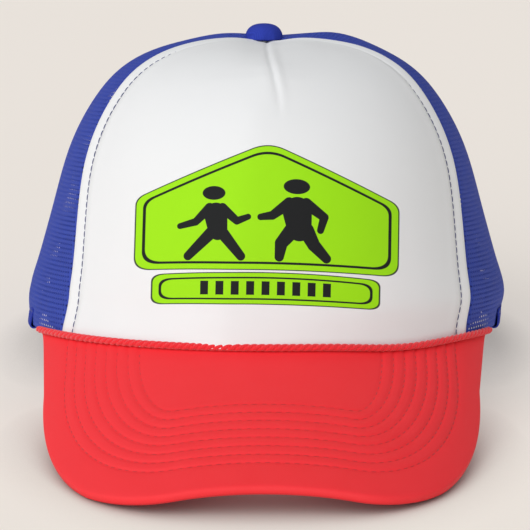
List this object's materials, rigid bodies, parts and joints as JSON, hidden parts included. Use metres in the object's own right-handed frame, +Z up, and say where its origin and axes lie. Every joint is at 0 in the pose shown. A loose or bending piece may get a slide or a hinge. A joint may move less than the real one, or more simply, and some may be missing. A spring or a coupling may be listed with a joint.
{
  "type": "trucker cap",
  "caption": "Foam-front trucker cap with net sides and back, a curved stitched visor, a braid over the visor seam, a top button and a plastic snap closure in an arched rear opening.",
  "frame": {"origin": "middle of the base of the bounding box, on the surface that the cap rests on, with the visor's two lobes and the rear hem touching it", "axes": "+Z up, the visor points to -Y, +X is the right of someone who looks at the front; the crown's rim plane leans back by 11.4 degrees"},
  "size_m": [0.1802, 0.2612, 0.1259],
  "materials": {
    "white_polyester": "smooth matt knit laminated on foam, with a printed badge",
    "foam": "open-cell polyurethane foam, matt",
    "tricot_lining": "thin brushed tricot",
    "blue_net": "stiff polyester net, slight sheen",
    "blue_twill": "matt woven tape and twill",
    "blue_strap_plastic": "moulded polyethylene, satin",
    "blue_thread": "twisted polyester thread",
    "red_cotton": "matt plain-woven cotton",
    "red_braid": "braided cord, soft sheen",
    "red_thread": "twisted polyester thread",
    "visor_board": "flexible polyethylene board",
    "button_metal": "stamped zinc-plated steel"
  },
  "bodies": {
    "crown": {"button_rivet": "button_metal", "centre_back_tape": "blue_twill", "front_foam": "foam", "front_lining": "tricot_lining", "front_panel": "white_polyester", "front_seam_tape_left": "blue_twill", "front_seam_tape_right": "blue_twill", "front_topstitch_left": "blue_thread", "front_topstitch_right": "blue_thread", "rear_arch_binding": "blue_twill", "rear_mesh_left": "blue_net", "rear_mesh_right": "blue_net", "rim_binding_left": "blue_twill", "rim_binding_right": "blue_twill", "side_mesh_left": "blue_net", "side_mesh_right": "blue_net", "side_seam_tape_left": "blue_twill", "side_seam_tape_right": "blue_twill", "strap_tab_left": "blue_strap_plastic", "strap_tab_right": "blue_strap_plastic", "sweatband": "blue_twill", "top_button": "blue_twill", "visor_board": "visor_board", "visor_braid": "red_braid", "visor_stitch_row_1": "red_thread", "visor_stitch_row_2": "red_thread", "visor_stitch_row_3": "red_thread", "visor_stitch_row_4": "red_thread", "visor_stitch_row_5": "red_thread", "visor_stitch_row_6": "red_thread", "visor_stitch_row_7": "red_thread", "visor_stitch_row_8": "red_thread", "visor_top_cover": "red_cotton", "visor_under_cover": "red_cotton"},
    "hole_strap": {"hole_strap": "blue_strap_plastic"},
    "peg_strap": {"peg_strap": "blue_strap_plastic"}
  },
  "joints": [
    {"name": "hole_strap_swing", "type": "hinge", "parent": "crown", "child": "hole_strap", "pos_m": [-0.04086, 0.11773, 0.01064], "axis": [0, 0, 1], "range_deg": [0, 30], "stiffness_Nm_per_rad": 0.01},
    {"name": "peg_strap_swing", "type": "hinge", "parent": "crown", "child": "peg_strap", "pos_m": [0.04002, 0.11637, 0.01068], "axis": [0, 0, 1], "range_deg": [0, 35], "stiffness_Nm_per_rad": 0.01}
  ]
}
